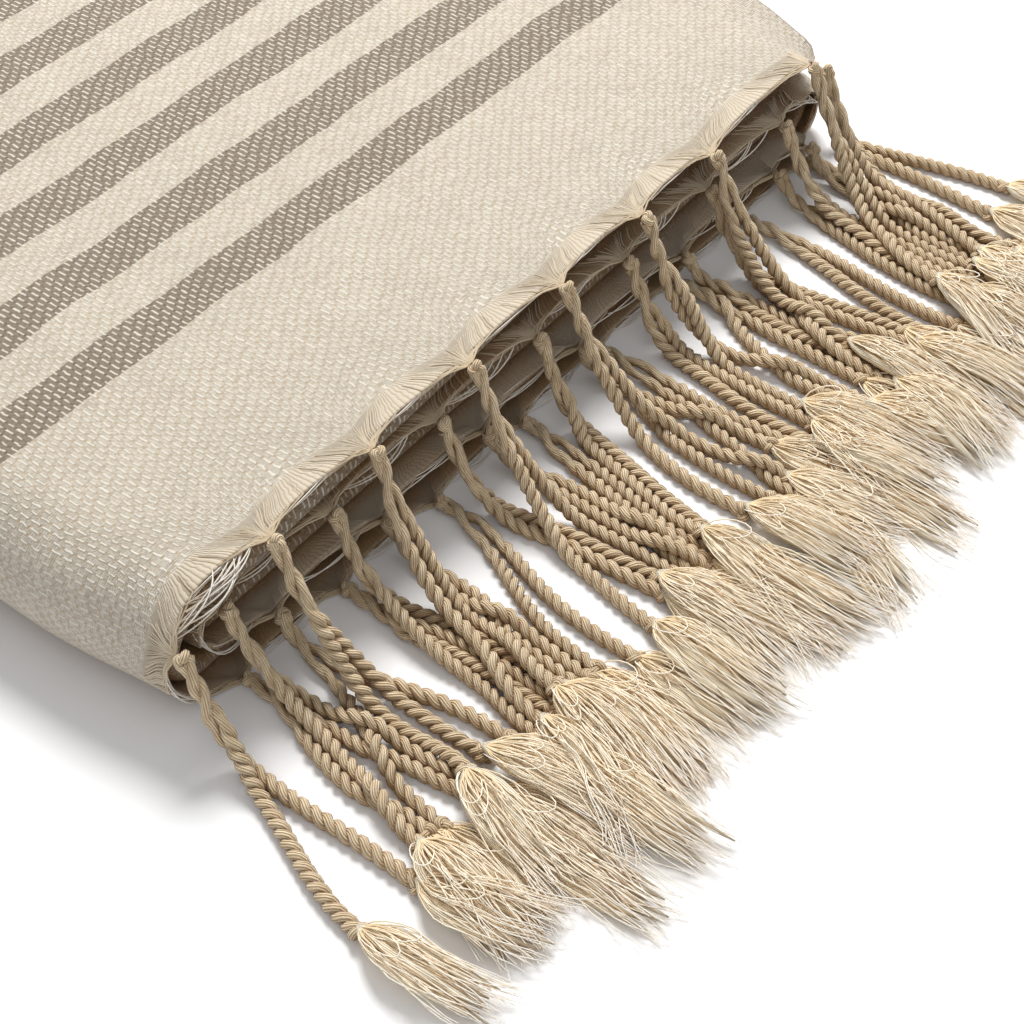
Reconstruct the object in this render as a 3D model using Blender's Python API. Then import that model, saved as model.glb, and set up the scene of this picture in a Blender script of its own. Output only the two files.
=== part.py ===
"""Hammam towel: one woven cotton cloth with a knotted fringe at both ends, folded and lying flat.

The cloth is folded twice across its length, like a letter Z, and the packet of three layers is
then rolled flat over its width, four widths in all.  X runs along the fringed front edge, Y along
the length towards the back, Z up.  The origin is under the middle of the whole towel.
"""
import math

import bmesh
import bpy
from mathutils import Vector

# Driving dimensions, in metres.
CLOTH_LENGTH = 1.625        # from one fringed edge to the other
CLOTH_THICK = 0.0012
FRINGE_GAP = 0.0003         # clearance between the cloth's edge and its fringe
KNOTS = 32                  # knots along each fringed edge
SELVEDGE_KNOT = 0.004       # first and last knot, from the selvedge
FIRST_KNOT = 0.018          # the next one in, where the even spacing starts
HEADER_DEPTH = 0.003        # the knotted strip along the edge
HEADER_THICK = 0.002
TASSEL_WIDTH = 0.0042
TASSEL_THICK = 0.0022
TASSEL_SPREAD = (-0.040, 0.212)     # where the outermost tassels lie on the surface
TOP_LENGTH = 0.547          # outer layer, from the front edge to the back fold
MIDDLE_DEPTH = 0.0030       # middle layer, below the packet's outer face

# The flat roll over the width, from the outer selvedge inwards.  A section is a straight run or a
# half turn; packet, tuck and step are reached at its end.
SECTION_NAMES = ("name", "run", "radius", "pieces", "packet", "tuck", "step")
SECTIONS = (
    # name          run     radius   pieces  packet   tuck    step
    ("top",         0.2310, None,    9,      0.0095,  0.003,  0.000),
    ("left roll",   None,   0.0160,  10,     0.0064,  0.007,  0.000),
    ("bottom",      0.2252, None,    4,      0.0064,  0.009,  0.000),
    ("right loop",  None,   0.0107,  8,      0.0064,  0.011,  0.000),
    ("second",      0.2222, None,    5,      0.0064,  0.011,  0.003),
    ("inner fold",  None,   0.0070,  6,      0.0064,  0.009,  0.002),
    ("third",       0.2158, None,    4,      0.0064,  0.009,  -0.001),
)
OUTER_SELVEDGE = Vector((0.216, 0.032))     # X and Z where the roll ends on top
OUTER_PACKET = 0.0095                       # packet, tuck and step at that selvedge
OUTER_TUCK = 0.012
OUTER_STEP = 0.0

# The Z fold along the length: fractions of each layer that carry a row of vertices.
LAYER_ROWS = (0.0, 0.012, 0.03, 0.07, 0.3, 0.65, 1.0)
BACK_ROWS = (0.0, 0.35, 0.7, 0.97, 1.0)
TURN_PIECES = 6

# A tassel's way from the knot: distance out, share of the knot's height, share of the sideways move.
ROUTE_NAMES = ("out", "height", "sideways", "twist")
ROUTE = (
    (0.006, 0.98, 0.10, 0.4),
    (0.014, 0.78, 0.60, 0.8),
    (0.024, 0.42, 1.00, 1.0),
    (0.034, 0.14, 1.00, 1.0),
    (0.044, 0.00, 1.00, 1.0),
    (0.092, 0.00, 1.00, 1.0),
)
BACK_CLEARANCE = 0.024      # how far the back tassels run on before they drop

COTTON = (0.78, 0.70, 0.58)
CORD = (0.62, 0.49, 0.35)


def smooth(value):
    """Ease from 0 to 1 as value goes from 0 to 1, flat outside."""
    held = min(max(value, 0.0), 1.0)
    return held * held * (3.0 - 2.0 * held)


def mix(start, end, share):
    return start + (end - start) * share


class FlatRoll:
    """The cloth's route over its width, followed on the packet's outer face."""

    def __init__(self):
        self.rows = []
        place = OUTER_SELVEDGE.copy()
        heading = math.pi
        state = (OUTER_PACKET, OUTER_TUCK, OUTER_STEP)
        distance = 0.0
        for values in SECTIONS:
            row = dict(zip(SECTION_NAMES, values))
            row["length"] = row["run"] or math.pi * row["radius"]
            row["from"] = distance
            row["place"] = place.copy()
            row["heading"] = heading
            row["state"] = state
            state = (row["packet"], row["tuck"], row["step"])
            row["next"] = state
            self.rows.append(row)
            place = self.point(row, row["length"], 0.0)
            heading += 0.0 if row["run"] else math.pi
            distance += row["length"]
        self.width = distance

    def point(self, row, along, depth):
        """X and Z at a distance along one section, depth inside the outer face."""
        heading = row["heading"]
        inward = Vector((-math.sin(heading), math.cos(heading)))
        if row["run"]:
            forward = Vector((math.cos(heading), math.sin(heading)))
            return row["place"] + forward * along + inward * depth
        centre = row["place"] + inward * row["radius"]
        turned = heading + along / row["radius"]
        outward = Vector((math.sin(turned), -math.cos(turned)))
        return centre + outward * (row["radius"] - depth)

    def section(self, width_at):
        for row in self.rows:
            if width_at <= row["from"] + row["length"] + 1e-9:
                return row
        return self.rows[-1]

    def at(self, width_at, depth):
        row = self.section(width_at)
        return self.point(row, width_at - row["from"], depth)

    def heading(self, width_at):
        row = self.section(width_at)
        turned = 0.0 if row["run"] else (width_at - row["from"]) / row["radius"]
        return row["heading"] + turned

    def state(self, width_at):
        """Packet height, tuck of the inner fold and step of the fringed edge."""
        row = self.section(width_at)
        share = (width_at - row["from"]) / row["length"]
        return [mix(start, end, share) for start, end in zip(row["state"], row["next"])]

    def stations(self):
        places = [0.0]
        for row in self.rows:
            pieces = row["pieces"]
            places += [row["from"] + row["length"] * (count + 1) / pieces for count in range(pieces)]
        return places


def settle(place):
    """The whole towel's uneven lie: soft waves, the front corners drawn in and let down."""
    x, y, z = place
    near_front = smooth((0.035 - y) / 0.035)
    right = smooth((x - 0.160) / 0.055)
    left = smooth((0.020 - x) / 0.050)
    wave = 0.018 * math.sin(37.0 * x + 0.6) * math.cos(19.0 * y + 0.4)
    x += 0.003 * near_front * left - 0.009 * near_front * right
    z *= 1.0 + wave * smooth(y / 0.04) - 0.08 * near_front * right
    return Vector((x, y, z))


class ZFold:
    """Height in the packet and place along Y, for a row of the cloth at one width."""

    def __init__(self, packet, tuck, step):
        self.front = step
        self.outer = CLOTH_THICK / 2
        self.inner = packet - CLOTH_THICK / 2
        self.tuck = tuck
        self.back_radius = (MIDDLE_DEPTH - self.outer) / 2
        self.front_radius = (self.inner - MIDDLE_DEPTH) / 2
        used = TOP_LENGTH + math.pi * self.back_radius
        middle = TOP_LENGTH - tuck - self.front_radius
        used += middle + math.pi * self.front_radius
        self.inner_length = CLOTH_LENGTH - used

    def back_end(self):
        """Y of the other fringed edge, at the back of the inner layer."""
        return self.tuck + self.front_radius + self.inner_length

    def row(self, kind, share, lift):
        """Y and depth of a point; lift goes from the outer face to the inner one of the layer."""
        if kind == "outer":
            return mix(self.front, TOP_LENGTH, share), self.outer + lift
        if kind == "back turn":
            angle = math.pi * share
            reach = self.back_radius - lift
            depth = MIDDLE_DEPTH - self.back_radius - reach * math.cos(angle)
            return TOP_LENGTH + reach * math.sin(angle), depth
        front_at = self.tuck + self.front_radius
        if kind == "middle":
            return mix(TOP_LENGTH, front_at, share), MIDDLE_DEPTH - lift
        if kind == "front turn":
            angle = math.pi * share
            reach = self.front_radius + lift
            depth = MIDDLE_DEPTH + self.front_radius - reach * math.cos(angle)
            return front_at - reach * math.sin(angle), depth
        return mix(front_at, self.back_end(), share), self.inner + lift


def cloth_rows():
    """The rows of vertices along the cloth's length, as kind of layer and share of it."""
    rows = [("outer", share) for share in LAYER_ROWS]
    rows += [("back turn", (count + 1) / TURN_PIECES) for count in range(TURN_PIECES)]
    rows += [("middle", 1.0 - share) for share in reversed(LAYER_ROWS[:-1])]
    rows += [("front turn", (count + 1) / TURN_PIECES) for count in range(TURN_PIECES)]
    rows += [("inner", share) for share in BACK_ROWS[1:]]
    return rows


def flat_slab(columns, rows):
    """A one-layer slab whose vertices stand at whole numbers: column, row and face 0 or 1."""
    slab = bmesh.new()
    bmesh.ops.create_grid(slab, x_segments=columns - 1, y_segments=rows - 1, size=0.5)
    for vert in slab.verts:
        column = round((vert.co.x + 0.5) * (columns - 1))
        row = round((vert.co.y + 0.5) * (rows - 1))
        vert.co = (column, row, 0)
    upper = bmesh.ops.extrude_face_region(slab, geom=slab.faces[:])
    lifted = [item for item in upper["geom"] if isinstance(item, bmesh.types.BMVert)]
    bmesh.ops.translate(slab, verts=lifted, vec=(0, 0, 1))
    bmesh.ops.recalc_face_normals(slab, faces=slab.faces[:])
    return slab


def finish(slab, name, material):
    """Turn a finished bmesh into a named object; bending can turn all its faces round at once."""
    if slab.calc_volume(signed=True) < 0.0:
        bmesh.ops.reverse_faces(slab, faces=slab.faces[:])
    mesh = bpy.data.meshes.new(name)
    slab.to_mesh(mesh)
    slab.free()
    mesh.materials.append(material)
    made = bpy.data.objects.new(name, mesh)
    bpy.context.collection.objects.link(made)
    return made


def cotton_material(name, colour, roughness):
    material = bpy.data.materials.new(name)
    material.use_nodes = True
    shader = material.node_tree.nodes["Principled BSDF"]
    shader.inputs["Base Color"].default_value = (*colour, 1.0)
    shader.inputs["Roughness"].default_value = roughness
    shader.inputs["Metallic"].default_value = 0.0
    return material


def make_cloth(roll):
    stations = roll.stations()
    rows = cloth_rows()
    slab = flat_slab(len(stations), len(rows))
    for vert in slab.verts:
        column, row, face = (round(value) for value in vert.co)
        fold = ZFold(*roll.state(stations[column]))
        kind, share = rows[row]
        y, depth = fold.row(kind, share, CLOTH_THICK * (face - 0.5))
        x, z = roll.at(stations[column], depth)
        vert.co = settle((x, y, z))
    return finish(slab, "cloth", cotton_material("cotton_cloth", COTTON, 0.95))


def knot_places(width):
    """Where the knots stand along a fringed edge, from the outer selvedge."""
    spacing = (width - 2 * FIRST_KNOT) / (KNOTS - 3)
    inner = [FIRST_KNOT + spacing * count for count in range(KNOTS - 2)]
    return [SELVEDGE_KNOT, *inner, width - SELVEDGE_KNOT]


def header_stations(roll, knots):
    """Stations of the knotted strip: both sides of each tassel, and the roll's own between them."""
    half = TASSEL_WIDTH / 2
    sides = [knot + side for knot in knots for side in (-half, half)]
    clear = [place for place in roll.stations() if min(abs(place - side) for side in sides) > 0.001]
    outside = [place for place in clear if min(abs(place - knot) for knot in knots) > half]
    return sorted(sides + outside)


def strip_place(roll, width_at, out, share, at_front):
    """A point of the knotted strip: out from the cloth's edge, and a share of the strip's thickness."""
    packet, tuck, step = roll.state(width_at)
    fold = ZFold(packet, tuck, step)
    if at_front:
        x, z = roll.at(width_at, HEADER_THICK * share)
        return settle((x, fold.front - out, z))
    x, z = roll.at(width_at, packet - HEADER_THICK * (1.0 - share))
    return settle((x, fold.back_end() + out, z))


def make_fringe(roll, name, at_front):
    """A comb: a strip along the folded edge, with one tassel out of each knot."""
    knots = knot_places(roll.width)
    stations = header_stations(roll, knots)
    strip = flat_slab(len(stations), 2)
    for vert in strip.verts:
        column, row, face = (round(value) for value in vert.co)
        out = FRINGE_GAP + HEADER_DEPTH * row
        vert.co = strip_place(roll, stations[column], out, face, at_front)
    roots = [tassel_root(strip, roll, knot, at_front) for knot in knots]
    roots.sort(key=lambda root: root["centre"].x)
    for count, root in enumerate(roots):
        root["lies_at"] = mix(*TASSEL_SPREAD, count / (len(roots) - 1))
        grow_tassel(strip, root, at_front)
    return finish(strip, name, cotton_material("cotton_" + name, CORD, 0.9))


def tassel_root(strip, roll, knot, at_front):
    """The strip's outward face at a knot, with its middle and the angle that it stands at."""
    aim = strip_place(roll, knot, FRINGE_GAP + HEADER_DEPTH, 0.5, at_front)
    face = min(strip.faces, key=lambda item: (item.calc_center_median() - aim).length)
    return {"face": face, "centre": face.calc_center_median(), "angle": roll.heading(knot)}


def grow_tassel(strip, root, at_front):
    """Extrude a tassel from its face: out, down to the surface and along it."""
    way = -1.0 if at_front else 1.0
    run_on = 0.0 if at_front else BACK_CLEARANCE
    face = root["face"]
    start = root["centre"]
    flat_angle = math.pi * round(root["angle"] / math.pi)
    sides = [vert.co - start for vert in face.verts]
    along = Vector((math.cos(root["angle"]), 0.0, math.sin(root["angle"])))
    inward = Vector((-along.z, 0.0, along.x))
    signs = [(math.copysign(1, side.dot(along)), math.copysign(1, side.dot(inward))) for side in sides]
    low = TASSEL_THICK / 2
    for values in ROUTE:
        step = dict(zip(ROUTE_NAMES, values))
        x = mix(start.x, root["lies_at"], step["sideways"])
        y = start.y + way * (step["out"] + run_on)
        z = low + max(start.z - low, 0.0) * step["height"]
        angle = mix(root["angle"], flat_angle, step["twist"])
        grown = bmesh.ops.extrude_discrete_faces(strip, faces=[face])
        face = grown["faces"][0]
        for vert, (across, up) in zip(face.verts, signs):
            wide = across * TASSEL_WIDTH / 2
            thick = up * TASSEL_THICK / 2
            aside = wide * math.cos(angle) - thick * math.sin(angle)
            rise = wide * math.sin(angle) + thick * math.cos(angle)
            vert.co = (x + aside, y, max(z + rise, 0.0))


def centre_on_origin(pieces):
    """Move all meshes so that the origin is under the middle of the towel."""
    corners = [vert.co for piece in pieces for vert in piece.data.vertices]
    low = Vector([min(corner[axis] for corner in corners) for axis in range(3)])
    high = Vector([max(corner[axis] for corner in corners) for axis in range(3)])
    shift = Vector((-(low.x + high.x) / 2, -(low.y + high.y) / 2, -low.z))
    for piece in pieces:
        for vert in piece.data.vertices:
            vert.co += shift


def build():
    for old in list(bpy.data.objects):
        bpy.data.objects.remove(old)
    roll = FlatRoll()
    pieces = [make_cloth(roll)]
    pieces.append(make_fringe(roll, "fringe_front", True))
    pieces.append(make_fringe(roll, "fringe_back", False))
    centre_on_origin(pieces)
    print("width of the cloth, metres:", round(roll.width, 4))


build()
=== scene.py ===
# %% [markdown]
# # A folded hammam towel
# A hammam towel is one woven cotton cloth with a knotted, twisted fringe at both short ends. This
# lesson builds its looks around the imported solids, which fix where every fold and fringe lies.
# The frame is loaded first, and its box is kept to compare the finished towel with.

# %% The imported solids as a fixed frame
import math
import random

import bmesh
import bpy
import numpy as np
from mathutils import Matrix, Vector, noise


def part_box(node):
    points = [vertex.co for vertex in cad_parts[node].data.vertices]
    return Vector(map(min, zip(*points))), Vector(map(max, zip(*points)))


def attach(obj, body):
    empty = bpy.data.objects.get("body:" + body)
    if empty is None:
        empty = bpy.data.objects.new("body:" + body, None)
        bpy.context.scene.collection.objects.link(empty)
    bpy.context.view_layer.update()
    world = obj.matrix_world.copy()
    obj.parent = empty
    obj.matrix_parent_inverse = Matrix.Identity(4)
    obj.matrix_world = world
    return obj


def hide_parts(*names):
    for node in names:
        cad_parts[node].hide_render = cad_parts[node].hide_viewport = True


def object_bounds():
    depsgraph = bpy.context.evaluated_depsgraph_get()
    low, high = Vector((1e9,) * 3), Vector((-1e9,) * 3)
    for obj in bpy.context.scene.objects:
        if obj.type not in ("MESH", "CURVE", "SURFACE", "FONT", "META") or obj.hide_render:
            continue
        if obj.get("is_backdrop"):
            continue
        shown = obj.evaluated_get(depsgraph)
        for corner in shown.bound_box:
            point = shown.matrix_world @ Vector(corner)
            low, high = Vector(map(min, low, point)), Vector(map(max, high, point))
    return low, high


def show_box(name, box):
    print("box of the", name, [[round(value, 4) for value in corner] for corner in box])


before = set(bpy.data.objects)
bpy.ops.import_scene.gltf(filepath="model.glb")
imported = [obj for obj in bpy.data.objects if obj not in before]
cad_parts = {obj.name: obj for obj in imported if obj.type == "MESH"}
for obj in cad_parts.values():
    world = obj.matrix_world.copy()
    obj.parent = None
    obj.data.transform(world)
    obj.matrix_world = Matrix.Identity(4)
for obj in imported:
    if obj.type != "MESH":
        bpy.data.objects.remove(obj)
solid_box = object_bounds()
show_box("solids:", solid_box)

# %% [markdown]
# ## Camera and light
# The towel is seen close by, from above its front left corner, so the camera comes first: every
# detail after it is judged through it. A wide soft light stands on the far right, over a white
# floor and under an even white sky, as in a small product studio.

# %% Camera, light and floor
CLOTH_CORNER = Vector((-0.031, -0.001, 0.0))    # the cloth's lowest corner, in its maker's measures
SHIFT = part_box("cloth")[0] - CLOTH_CORNER


def link(name, data):
    """A new object in the scene, from its data."""
    made = bpy.data.objects.new(name, data)
    bpy.context.collection.objects.link(made)
    return made


def add_camera():
    data = bpy.data.cameras.new("view")
    data.lens = 67.1
    data.sensor_width = 36.0
    data.clip_start = 0.01
    camera = link("view", data)
    camera.location = Vector((-0.1654, -0.1826, 0.2944)) + SHIFT
    camera.rotation_euler = Vector((0.549, 0.416, -0.725)).to_track_quat("-Z", "Y").to_euler()
    bpy.context.scene.camera = camera


def add_light(name, place, aim, size, watts, colour):
    data = bpy.data.lights.new(name, "AREA")
    data.shape = "DISK"
    data.size = size
    data.energy = watts
    data.color = colour
    light = link(name, data)
    light.location = place
    light.rotation_euler = (Vector(aim) - Vector(place)).to_track_quat("-Z", "Y").to_euler()


def add_floor():
    shape = bmesh.new()
    bmesh.ops.create_grid(shape, x_segments=1, y_segments=1, size=4.0)
    mesh = bpy.data.meshes.new("floor")
    shape.to_mesh(mesh)
    shape.free()
    paper = bpy.data.materials.new("white_paper")
    paper.use_nodes = True
    shader = paper.node_tree.nodes["Principled BSDF"]
    shader.inputs["Base Color"].default_value = (0.95, 0.95, 0.96, 1.0)
    shader.inputs["Roughness"].default_value = 0.9
    mesh.materials.append(paper)
    floor = link("floor", mesh)
    floor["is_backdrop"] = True


def add_sky(colour, strength):
    sky = bpy.data.worlds.new("even_sky")
    sky.use_nodes = True
    glow = sky.node_tree.nodes["Background"]
    glow.inputs["Color"].default_value = (*colour, 1.0)
    glow.inputs["Strength"].default_value = strength
    bpy.context.scene.world = sky


add_camera()
add_light("key", (0.50, 0.20, 0.95), (0.0, -0.25, 0.0), 0.50, 16.8, (1.0, 0.99, 0.97))
add_light("fill", (-0.6, -0.9, 0.9), (-0.05, -0.3, 0.0), 0.9, 2.0, (1.0, 1.0, 1.0))
add_floor()
add_sky((0.99, 0.995, 1.0), 0.44)
bpy.context.scene.view_settings.view_transform = "Standard"
bpy.context.scene.view_settings.look = "None"

# %% [markdown]
# ## The way the cloth is folded
# The towel is folded twice across its length, like a letter Z. That packet of three layers is
# rolled flat over its width, four widths in all. Cloth simulation could fold it too, but a place
# worked out from the two folds is exact and keeps each layer clear of the next. A point is given by
# its distance over the width, its layer and its share along the layer.

# %% Flat roll over the width
CLOTH_LENGTH = 1.625
CLOTH_THICK = 0.0012
TOP_LENGTH = 0.547          # outer layer, from the front edge to the back fold
MIDDLE_DEPTH = 0.0030       # middle layer, below the packet's outer face
ROLL_NAMES = ("name", "run", "radius", "columns", "packet", "tuck", "step")
ROLL_SECTIONS = (
    # name          run     radius  columns packet   tuck    step
    ("top",         0.2310, None,    100,    0.0095,  0.003,  0.000),
    ("left roll",   None,   0.0160,  28,     0.0064,  0.007,  0.000),
    ("bottom",      0.2252, None,    56,     0.0064,  0.009,  0.000),
    ("right loop",  None,   0.0107,  16,     0.0064,  0.011,  0.000),
    ("second",      0.2222, None,    62,     0.0064,  0.011,  0.003),
    ("inner fold",  None,   0.0070,  12,     0.0064,  0.009,  0.002),
    ("third",       0.2158, None,    54,     0.0064,  0.009,  -0.001),
)
OUTER_SELVEDGE = Vector((0.216, 0.032))
OUTER_STATE = (0.0095, 0.012, 0.0)      # packet, tuck and step at that selvedge


def smooth(value):
    held = min(max(value, 0.0), 1.0)
    return held * held * (3.0 - 2.0 * held)


def mix(start, end, share):
    return start + (end - start) * share


class FlatRoll:
    """The cloth's route over its width, followed on the packet's outer face."""

    def __init__(self):
        self.rows = []
        place = OUTER_SELVEDGE.copy()
        heading = math.pi
        state = OUTER_STATE
        distance = 0.0
        for values in ROLL_SECTIONS:
            row = dict(zip(ROLL_NAMES, values))
            row["length"] = row["run"] or math.pi * row["radius"]
            row["from"] = distance
            row["place"] = place.copy()
            row["heading"] = heading
            row["state"] = state
            state = (row["packet"], row["tuck"], row["step"])
            row["next"] = state
            self.rows.append(row)
            place = self.point(row, row["length"], 0.0)
            heading += 0.0 if row["run"] else math.pi
            distance += row["length"]
        self.width = distance

    def point(self, row, along, depth):
        heading = row["heading"]
        inward = Vector((-math.sin(heading), math.cos(heading)))
        if row["run"]:
            forward = Vector((math.cos(heading), math.sin(heading)))
            return row["place"] + forward * along + inward * depth
        centre = row["place"] + inward * row["radius"]
        turned = heading + along / row["radius"]
        outward = Vector((math.sin(turned), -math.cos(turned)))
        return centre + outward * (row["radius"] - depth)

    def section(self, width_at):
        for row in self.rows:
            if width_at <= row["from"] + row["length"] + 1e-9:
                return row
        return self.rows[-1]

    def at(self, width_at, depth):
        row = self.section(width_at)
        return self.point(row, width_at - row["from"], depth)

    def heading(self, width_at):
        row = self.section(width_at)
        turned = 0.0 if row["run"] else (width_at - row["from"]) / row["radius"]
        return row["heading"] + turned

    def state(self, width_at):
        row = self.section(width_at)
        share = (width_at - row["from"]) / row["length"]
        return [mix(start, end, share) for start, end in zip(row["state"], row["next"])]

    def stations(self):
        places = [0.0]
        for row in self.rows:
            count = row["columns"]
            places += [row["from"] + row["length"] * (index + 1) / count for index in range(count)]
        return places


roll = FlatRoll()
print("width of the cloth:", round(roll.width, 4))


# %% Z fold along the length
class ZFold:
    """Place along Y, depth in the packet and distance from the front edge, at one width."""

    def __init__(self, packet, tuck, step):
        self.front = step
        self.outer = CLOTH_THICK / 2
        self.inner = packet - CLOTH_THICK / 2
        self.back_radius = (MIDDLE_DEPTH - self.outer) / 2
        self.front_radius = (self.inner - MIDDLE_DEPTH) / 2
        self.front_at = tuck + self.front_radius
        lengths = [TOP_LENGTH, math.pi * self.back_radius, TOP_LENGTH - self.front_at]
        lengths.append(math.pi * self.front_radius)
        lengths.append(CLOTH_LENGTH - sum(lengths))
        self.lengths = dict(zip(("outer", "back turn", "middle", "front turn", "inner"), lengths))

    def back_end(self):
        return self.front_at + self.lengths["inner"]

    def distance(self, kind, share):
        """Distance along the cloth from its front edge."""
        before = 0.0
        for name, length in self.lengths.items():
            if name == kind:
                return before + length * share
            before += length

    def row(self, kind, share):
        if kind == "outer":
            return mix(self.front, TOP_LENGTH, share), self.outer
        if kind == "back turn":
            depth = MIDDLE_DEPTH - self.back_radius - self.back_radius * math.cos(math.pi * share)
            return TOP_LENGTH + self.back_radius * math.sin(math.pi * share), depth
        if kind == "middle":
            return mix(TOP_LENGTH, self.front_at, share), MIDDLE_DEPTH
        if kind == "front turn":
            depth = MIDDLE_DEPTH + self.front_radius - self.front_radius * math.cos(math.pi * share)
            return self.front_at - self.front_radius * math.sin(math.pi * share), depth
        return mix(self.front_at, self.back_end(), share), self.inner


def settle(x, y, z):
    """The uneven lie of the whole towel, then its place in the frame."""
    near_front = smooth((0.035 - y) / 0.035)
    right = smooth((x - 0.160) / 0.055)
    corner = smooth((x - 0.196) / 0.018)
    left = smooth((0.020 - x) / 0.050)
    wave = 0.018 * math.sin(37.0 * x + 0.6) * math.cos(19.0 * y + 0.4)
    tip = smooth((x - 0.203) / 0.013) * smooth((0.012 - y) / 0.012)
    x += 0.003 * near_front * left - 0.002 * near_front * right - 0.003 * tip
    y += 0.005 * tip
    z *= 1.0 + wave * smooth(y / 0.04) + near_front * (0.05 * right - 0.30 * corner)
    return Vector((x, y, max(z, CLOTH_THICK / 2))) + SHIFT


# %% [markdown]
# ## Where the knots stand
# The warp ends of each edge are gathered by hand into knots about 33 mm apart, with a narrow one at
# each selvedge. Hands aren't machines, so the knots that show are nudged a few millimetres each.
# The knots come before the cloth because they pull its edge about.

# %% Knots along an edge
KNOTS = 32
SELVEDGE_KNOT = 0.004
FIRST_KNOT = 0.018
# Nudge of each knot from its even place, in millimetres towards the inner selvedge.
TOP_NUDGES = (5.0, 1.0, 12.5, 8.0, 5.0, 3.5, 1.5, -1.0, -2.0)
LATER_NUDGE = -0.019        # reached by the second width, where the gathering runs ahead
LATER_FROM = (0.25, 0.55)


def knot_places():
    spacing = (roll.width - 2 * FIRST_KNOT) / (KNOTS - 3)
    even = [FIRST_KNOT + spacing * count for count in range(KNOTS - 2)]
    even = [SELVEDGE_KNOT, *even, roll.width - SELVEDGE_KNOT]
    placed = []
    for index, place in enumerate(even):
        nudge = TOP_NUDGES[index] / 1000 if index < len(TOP_NUDGES) else 0.0
        later = smooth((place - LATER_FROM[0]) / (LATER_FROM[1] - LATER_FROM[0]))
        later *= smooth((roll.width - place) / 0.10)
        placed.append(place + nudge + LATER_NUDGE * later)
    return placed


knots = knot_places()
halves = [0.0] + [(one + two) / 2 for one, two in zip(knots, knots[1:])] + [roll.width]


def knot_near(width_at):
    """The nearest knot, and how far the place is from it: 0 at the knot, 1 half way to the next."""
    index = min(range(KNOTS), key=lambda count: abs(knots[count] - width_at))
    side = halves[index + 1] if width_at > knots[index] else halves[index]
    reach = max(abs(side - knots[index]), 1e-6)
    return index, min(abs(width_at - knots[index]) / reach, 1.0)


print("knots at", [round(place, 3) for place in knots])

# %% [markdown]
# ## The cloth
# The cloth is a fine grid laid out flat, whose points are then carried to the folds. Its warp runs
# on past the last weft thread, like a short skirt. Each knot gathers that skirt, so the edge comes
# forward at the knots and stands back between them. The grid's UV map holds the true place on the
# flat cloth, in metres, so that the weave follows every fold. A Solidify modifier gives the
# thickness.

# %% The cloth's rows and its shaped edges
EDGE_AT_KNOT = 0.0010       # how far the cloth stands back from the line of knots
EDGE_BETWEEN = 0.0028
EDGE_REACH = 0.030          # how far into the cloth the knots' pull is felt
GATHER = 0.30               # share by which a knot draws the warp together
SKIRT = 0.0066              # bare warp past the last weft thread
SKIRT_GATHER = 0.52         # further share by which it is drawn together there
# Soft ridges and troughs of the top layer, in metres; the angle is in degrees.
CREASES = (
    # x      y      angle  length width  height
    (0.020, 0.085, 62.0, 0.110, 0.012, 0.0008),
    (0.095, 0.060, 80.0, 0.070, 0.010, -0.0006),
    (0.150, 0.110, 105.0, 0.120, 0.014, 0.0008),
    (-0.004, 0.180, 95.0, 0.120, 0.010, -0.0006),
    (0.075, 0.250, 70.0, 0.160, 0.016, 0.0009),
    (0.170, 0.330, 100.0, 0.150, 0.014, -0.0006),
    (0.040, 0.430, 84.0, 0.140, 0.014, 0.0007),
)


def edge_lie(width_at, from_edge):
    """Where the knots draw a place near the edge: over the width, and back from the knots' line."""
    index, between = knot_near(width_at)
    near = smooth(1.0 - from_edge / EDGE_REACH)
    pull = GATHER * near ** 2 + SKIRT_GATHER * smooth(1.0 - from_edge / SKIRT)
    drawn = mix(width_at, knots[index], pull * (1.0 - between ** 4))
    return drawn, from_edge + mix(EDGE_AT_KNOT, EDGE_BETWEEN, smooth(between)) * near


def layer_rows():
    rows = [("outer", (index / 46) ** 1.8) for index in range(47)]
    rows += [("back turn", (index + 1) / 8) for index in range(8)]
    rows += [("middle", 1 - (1 - (index + 1) / 24) ** 1.5) for index in range(24)]
    rows += [("front turn", (index + 1) / 10) for index in range(10)]
    rows += [("inner", 1 - (1 - (index + 1) / 30) ** 1.7) for index in range(30)]
    return rows


def crease_height(x, y):
    """Height of the soft ridges and troughs at a place on top."""
    total = 0.0
    for at_x, at_y, degrees, length, width, height in CREASES:
        angle = math.radians(degrees)
        along = (x - at_x) * math.cos(angle) + (y - at_y) * math.sin(angle)
        across = (y - at_y) * math.cos(angle) - (x - at_x) * math.sin(angle)
        fade = smooth(1.0 - abs(along) / (length / 2))
        total += height * fade * math.exp(-(across / width) ** 2)
    return total


def cloth_place(width_at, kind, share):
    """A point of the cloth's middle surface, and its place on the flat cloth."""
    fold = ZFold(*roll.state(width_at))
    length_at = fold.distance(kind, share)
    from_edge = min(length_at, CLOTH_LENGTH - length_at)
    near = smooth(1.0 - from_edge / EDGE_REACH)
    width_drawn, inset = edge_lie(width_at, from_edge)
    inset += 0.0004 * near * noise.noise((width_at * 900.0, 0.3, 0.7))
    y, depth = fold.row(kind, share)
    y += (inset - from_edge) * (1.0 if length_at < CLOTH_LENGTH / 2 else -1.0)
    x, z = roll.at(width_drawn, depth)
    lift = 0.0004 * (1.0 - near) * noise.noise((width_at * 60.0, length_at * 45.0, 3.1))
    if kind == "outer":
        lift += crease_height(x, y) * (1.0 if width_at < roll.rows[0]["length"] else 0.0)
        inward = roll.heading(width_drawn)
        x += lift * math.sin(inward)
        z += -lift * math.cos(inward)
    return settle(x, y, z), (width_at, length_at)


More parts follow.
